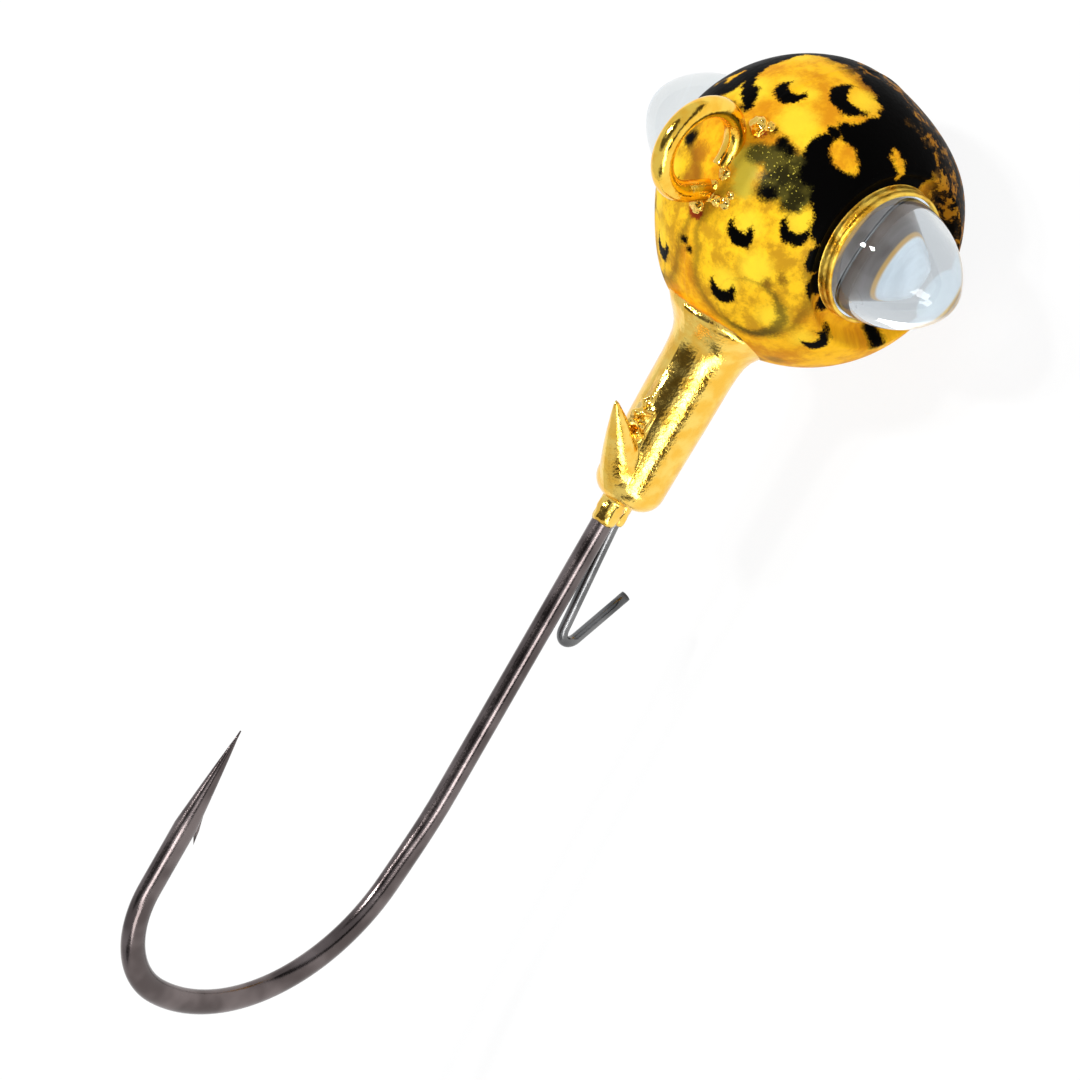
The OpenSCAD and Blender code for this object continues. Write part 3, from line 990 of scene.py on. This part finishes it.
def extrude_ring(bm, edges, side, radius, height, material_index):
    """Extrudes a ring about an eye's axis to a new radius and distance from the middle plane."""
    made = bmesh.ops.extrude_edge_only(bm, edges=edges)["geom"]
    verts = set(ring_verts(made))
    place_ring(verts, side, radius, height)
    for face in made:
        if isinstance(face, bmesh.types.BMFace):
            face.material_index = material_index
    return [edge for edge in ring_edges(made) if verts.issuperset(edge.verts)]


def make_ball():
    """The ball with its eye seats, lips and sockets in one skin."""
    bm = bmesh.new()
    bmesh.ops.create_uvsphere(bm, u_segments=u_steps, v_segments=v_steps, radius=ball_r)
    bmesh.ops.rotate(bm, verts=bm.verts, cent=(0, 0, 0), matrix=Matrix.Rotation(pi / 2, 3, "X"))
    for y in (-seam_half, seam_half):
        everything = bm.verts[:] + bm.edges[:] + bm.faces[:]
        bmesh.ops.bisect_plane(bm, geom=everything, plane_co=(0, y, 0), plane_no=(0, 1, 0))
    for vert in bm.verts:
        vert.co = ball_point(vert.co)
    under_lips = [v for v in bm.verts if from_eye_axis(v.co.x, v.co.z) < lip_r and abs(v.co.y) > seat_start]
    bmesh.ops.delete(bm, geom=under_lips, context="VERTS")
    for side in (-1, 1):
        ring = [e for e in bm.edges if e.is_boundary and all(v.co.y * side > seat_start for v in e.verts)]
        place_ring({v for e in ring for v in e.verts}, side, lip_r + 0.05, dish_floor)
        for radius, height, material_index in LIP_RINGS:
            ring = extrude_ring(bm, ring, side, radius, height, material_index)
        bmesh.ops.contextual_create(bm, geom=ring, mat_nr=LINING)
    bmesh.ops.translate(bm, verts=bm.verts, vec=ball_at)
    finish_piece(bm, "ball", "plated_lead", [lacquer, gold_lip, socket_lining], "head_casting")


make_ball()

# %% [markdown]
# ## Collar, barb and neck
# Behind the ball the casting goes on as a round collar that the bait is pushed over. A leaning barb
# stands on its end and holds the bait. A rough sleeve of lead on the two wires ends the casting.
# The collar, the barb and the sleeves are turned profiles, and bits of torn mould flash are spheres
# pushed about with noise. They cross each other freely, so a Boolean union makes them one skin,
# where joining them edge to edge by hand would be slow and no truer.

# %% Measures of the collar, barb and neck
collar_end, collar_end_r, collar_round = 12.15, 1.31, 0.8
collar_end_x = ball_at.x - collar_end
barb_base = Vector((collar_end_x + 0.95, 0, collar_z + 0.54))
barb_angle, barb_length, barb_r = radians(45), 3.5, 0.82
barb_axis = Vector((cos(barb_angle), 0, sin(barb_angle)))
neck_end_x = collar_end_x - 0.9
wire_gap = 0.03
keeper_z = shank_z - wire_r - wire_gap - keeper_r
barb_upper = Vector((-sin(barb_angle), 0, cos(barb_angle)))
seam_cusp, seam_cusp_reach, seam_cusp_sink = 0.06, radians(45), 0.25
barb_cusp, barb_cusp_reach, barb_cusp_sink = 0.14, radians(70), 0.2
round_steps = 8
seam_crease, on_seam = radians(8), 0.01
# Each bit of flash is: ahead of the barb's base, to the left, above the collar, radius.
FLASH = [(1.9, -0.02, 0.05, 0.3), (2.35, -0.05, 0.02, 0.24), (1.6, -0.25, 0, 0.26), (2.8, 0, -0.02, 0.18)]
print("collar ends at x", round(collar_end_x, 2), "and the neck at", round(neck_end_x, 2))


# %% One skin out of several
def united(parts):
    """One bmesh that is the union of several closed ones."""
    holders = []
    for index, part in enumerate(parts):
        mesh = bpy.data.meshes.new(f"part_{index}")
        bmesh.ops.recalc_face_normals(part, faces=part.faces)
        part.to_mesh(mesh)
        part.free()
        holder = bpy.data.objects.new(mesh.name, mesh)
        bpy.context.scene.collection.objects.link(holder)
        holders.append(holder)
    first = holders[0]
    for other in holders[1:]:
        union = first.modifiers.new(other.name, "BOOLEAN")
        union.operation, union.solver, union.object = "UNION", "EXACT", other
    bpy.context.view_layer.update()
    bm = bmesh.new()
    bm.from_object(first, bpy.context.evaluated_depsgraph_get())
    for holder in holders:
        bpy.data.objects.remove(holder)
    return bm


print("union ready")


# %% Collar and barb
def cusp(lean, reach, sink):
    """The push outwards for an angle away from the seam: 1 less the sink on it, and inwards far from it."""
    return max(0, 1 - lean / reach) ** 2 - sink


def collar_part():
    """The collar, flared into the ball, drawn in a little towards its round end, with seam ridges."""
    profile = [(0, 4.4), (2.35, 4.6), (2.05, 5.0), (1.78, 5.3), (1.6, 5.55), (1.48, 5.85), (1.42, 6.25)]
    profile += [(collar_r - 0.01, 6.8), (collar_r - 0.03, 8.4), (collar_end_r + 0.02, 10)]
    for step in range(round_steps + 1):
        angle = pi / 2 * step / round_steps
        radius = collar_end_r - collar_round * (1 - cos(angle))
        profile.append((radius, collar_end - collar_round * (1 - sin(angle))))
    profile.append((0, collar_end))
    bm = turned_part(profile, (ball_at.x, 0, collar_z), (-1, 0, 0), 96, side=(0, 0, 1))
    for vert in bm.verts:
        off = Vector((0, vert.co.y, vert.co.z - collar_z))
        lean = asin(min(abs(vert.co.y) / max(off.length, 0.001), 1))
        vert.co += off * seam_cusp * cusp(lean, seam_cusp_reach, seam_cusp_sink)
    return bm


def barb_part():
    """The barb: a round base and a long, slightly full cone, with a sharp upper edge."""
    profile = [(0, -barb_r)]
    for step in range(1, round_steps + 1):
        angle = pi / 2 * step / round_steps
        profile.append((barb_r * sin(angle), -barb_r * cos(angle)))
    for along, radius in ((0.2, 0.95), (0.4, 0.77), (0.6, 0.56), (0.8, 0.32), (0.95, 0.12)):
        profile.append((barb_r * radius, barb_length * along))
    profile.append((0, barb_length))
    bm = turned_part(profile, barb_base, barb_axis, 64, side=barb_upper)
    for vert in bm.verts:
        off = vert.co - barb_base
        off -= barb_axis * off.dot(barb_axis)
        lean = barb_upper.angle(off, pi)
        vert.co += off * barb_cusp * cusp(lean, barb_cusp_reach, barb_cusp_sink)
    return bm


collar_bm, barb_bm = collar_part(), barb_part()
print("collar and barb:", len(collar_bm.faces), "and", len(barb_bm.faces), "faces")


# %% Sleeves and flash
def sleeve_part(z, radius, front, rear, lumps):
    """A rough sleeve of cast metal on a wire, with lumps of a stated depth."""
    length, steps = front - rear, 16
    profile = [(0, 0), (radius, 0)]
    profile += [(radius, length * step / steps) for step in range(1, steps)]
    profile += [(radius * 0.9, length), (0, length)]
    bm = turned_part(profile, (front, 0, z), (-1, 0, 0), 32)
    for vert in bm.verts:
        off = Vector((0, vert.co.y, vert.co.z - z))
        if off.length > radius / 2:
            swell = noise.noise(vert.co * 4.0) + 0.5 * noise.noise(vert.co * 9.0)
            vert.co += off.normalized() * lumps * swell
            vert.co.x += lumps * noise.noise(vert.co * 3.0)
    return bm


def flash_part(x, y, z, radius):
    """A torn bit of mould flash: a small sphere pushed well out of shape."""
    bm = bmesh.new()
    at = Vector((x, y, z))
    bmesh.ops.create_icosphere(bm, subdivisions=3, radius=radius, matrix=Matrix.Translation(at))
    for vert in bm.verts:
        vert.co += (vert.co - at) * (noise.noise(vert.co * 4.5) + 0.6 * noise.noise(vert.co * 9.0))
    return bm


collar_top = collar_z + collar_r
parts = [collar_bm, barb_bm]
for ahead, y, above, radius in FLASH:
    parts.append(flash_part(barb_base.x + ahead, y, collar_top + above, radius))
parts.append(sleeve_part(shank_z, wire_r + 0.07, collar_end_x + 1, neck_end_x, 0.06))
parts.append(sleeve_part(keeper_z, keeper_r + 0.08, collar_end_x + 1, neck_end_x + 0.1, 0.05))
print("parts to unite:", len(parts))

# %% Collar piece
rear_bm = united(parts)
for edge in rear_bm.edges:
    if all(abs(vert.co.y) < on_seam for vert in edge.verts) and edge.calc_face_angle(0) > seam_crease:
        edge.smooth = False
finish_piece(rear_bm, "bait_collar", "plated_lead", [gold_casting], "head_casting")

# %% [markdown]
# ## Lumps at the line tie
# Where the ring's two feet go into the ball, lead has crept up the wire and the plating has built up
# in bright lumps. They are small spheres pushed about with noise, in one piece. A bump map alone
# would leave them flat against the ball, and the eye goes straight to that spot.

# %% Lumps at the line tie
# Each lump is: around, up, radius along the ball, height above it.
LUMPS = [
    (8, 66, 0.4, 0.3), (15, 63, 0.24, 0.16), (-177, 77, 0.34, 0.26), (161, 82, 0.26, 0.2),
    (140, 80, 0.22, 0.2), (124, 78, 0.24, 0.18), (150, 86, 0.22, 0.16), (108, 79, 0.2, 0.14),
    (60, 86, 0.28, 0.14),
]
lump_sink, lump_push = 0.05, 0.3


def lump_noise(point):
    """Noise at three scales, each weaker than the one before."""
    return noise.noise(point * 2.2) + 0.6 * noise.noise(point * 5.0) + 0.3 * noise.noise(point * 11)


def make_lumps():
    """Rough bright lumps round the feet of the ring."""
    bm = bmesh.new()
    for around, up, radius, height in LUMPS:
        at = ball_at + on_ball(around, up, ball_r - lump_sink)
        outwards = (at - ball_at).to_track_quat("Z", "Y").to_matrix().to_4x4()
        place = Matrix.Translation(at) @ outwards @ Matrix.Diagonal((radius, radius, height, 1))
        for vert in bmesh.ops.create_icosphere(bm, subdivisions=4, radius=1, matrix=place)["verts"]:
            vert.co += (vert.co - at).normalized() * lump_push * radius * lump_noise(vert.co)
    finish_piece(bm, "line_tie_lumps", "plated_lead", [gold_casting], "head_casting")


make_lumps()

# %% [markdown]
# ## Eyes
# An eye is a solid clear stud: a short shank in the socket and a bullet nose of two tangent arcs. It
# has to be one closed skin with no gaps, because light bends twice on its way through. Smooth
# shading bends it too: without a second ring close to each edge of the bevel, the flat back would
# be shaded as if it were round, and a dark wedge would show in the stud. Behind it lies a flat bed
# of cement, kept a hair clear of the stud and the socket so that no two skins touch.

# %% Eyes
eye_nose_r, eye_shoulder, back_bevel, crease = 1.3, 4.3, 0.15, 0.01
eye_steps = 12
cement_gap, cement_side_gap = 0.01, 0.03


def eye_profile():
    """The stud's outline from its back to its tip, as (radius, distance from the middle plane)."""
    rise = eye_tip - eye_nose_r - eye_shoulder
    side_r = (rise**2 + eye_r**2 - eye_nose_r**2) / (2 * (eye_r - eye_nose_r))
    join = asin(rise / (side_r - eye_nose_r))
    flat_r, bevel_top = eye_r - back_bevel, eye_back + back_bevel
    profile = [(0, eye_back), (flat_r - crease, eye_back), (flat_r, eye_back)]
    profile += [(eye_r, bevel_top), (eye_r, bevel_top + crease), (eye_r, eye_shoulder)]
    for step in range(1, eye_steps + 1):
        angle = join * step / eye_steps
        profile.append((eye_r - side_r + side_r * cos(angle), eye_shoulder + side_r * sin(angle)))
    for step in range(1, eye_steps + 1):
        angle = join + (pi / 2 - join) * step / eye_steps
        profile.append((max(eye_nose_r * cos(angle), 0), eye_tip - eye_nose_r + eye_nose_r * sin(angle)))
    return profile


def make_eye(name, side):
    """One stud, with side -1 for the right eye and 1 for the left."""
    bm = turned_part(eye_profile(), (eye_at.x, 0, eye_at.z), (0, side, 0), 96, side=(1, 0, 0))
    finish_piece(bm, name, "clear_eye", [clear_stud], name)


def make_cement(name, side):
    """The bed of cement that fills the socket behind a stud."""
    radius, low, high = socket_r - cement_side_gap, socket_floor + cement_gap, eye_back - cement_gap
    profile = [(0, low), (radius, low), (radius, high), (0, high)]
    bm = turned_part(profile, (eye_at.x, 0, eye_at.z), (0, side, 0), 64, side=(1, 0, 0))
    finish_piece(bm, name, "cement", [cement_material], name)


make_eye("eye_right", -1)
make_eye("eye_left", 1)
make_cement("eye_cement_right", -1)
make_cement("eye_cement_left", 1)

# %% [markdown]
# ## Bait keeper
# The keeper is a thin spring wire cast in beside the shank. It leaves the neck, drops away from the
# shank, turns round and comes back as a short free arm with a square-cut end. It is swept in the
# same way as the hook: a straight run, an arc that is tangent to it, and a straight arm.

# %% Bait keeper
keeper_start, keeper_reach, keeper_drop, keeper_turn_r = 2.2, 17.2, 0.5, 0.46
keeper_angle, keeper_arm, keeper_sides = 31.5, 2.4, 24


def make_keeper():
    """The keeper wire, swept along its centre line."""
    bend_x, bend_z = ball_at.x - keeper_reach, keeper_z - keeper_drop
    slope = atan2(keeper_drop, neck_end_x - bend_x)
    straight = hypot(keeper_drop, neck_end_x - bend_x)
    stations = [(ball_at.x - keeper_start, keeper_z, pi, keeper_r, keeper_r)]
    stations.append((neck_end_x, keeper_z, pi + slope, keeper_r, keeper_r))
    stations += run_stations(neck_end_x, keeper_z, pi + slope, straight, 8, keeper_r)
    centre = (bend_x + keeper_turn_r * sin(slope), bend_z - keeper_turn_r * cos(slope))
    first, last = 90 + degrees(slope), 270 - keeper_angle
    stations += arc_stations(centre, keeper_turn_r, first, last, 20, keeper_r)[1:]
    stations += run_stations(*stations[-1][:3], keeper_arm, 4, keeper_r)
    bm = bmesh.new()
    sweep(bm, stations, keeper_sides)
    finish_piece(bm, "bait_keeper", "spring_wire", [spring_steel], "bait_keeper")


make_keeper()
